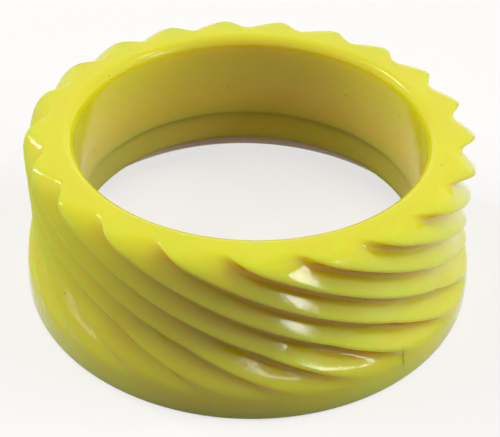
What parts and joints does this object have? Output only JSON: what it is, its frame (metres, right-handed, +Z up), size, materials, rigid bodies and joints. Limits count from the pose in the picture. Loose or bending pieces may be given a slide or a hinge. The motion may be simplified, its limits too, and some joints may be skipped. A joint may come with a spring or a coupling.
{
  "type": "fence insulator",
  "caption": "Round moulded plastic insulating collar for a round fence post, with slanted saw-tooth flutes outside, a smooth drip lip and a ring let into the foot of its bore.",
  "frame": {"origin": "on the bore's axis, in the plane of the foot that the collar stands on", "axes": "+Z up the bore axis, from the lip to the flat top face; +X and +Y are level, -Y is the side that faces the viewer"},
  "size_m": [0.0816, 0.0816, 0.0302],
  "materials": {
    "collar_plastic": "glossy, clear yellow, slightly translucent cast plastic",
    "ring_plastic": "glossy yellow plastic, a shade duller than the collar"
  },
  "bodies": {
    "root": {"fluted_collar": "collar_plastic", "bore_ring": "ring_plastic"}
  },
  "joints": []
}
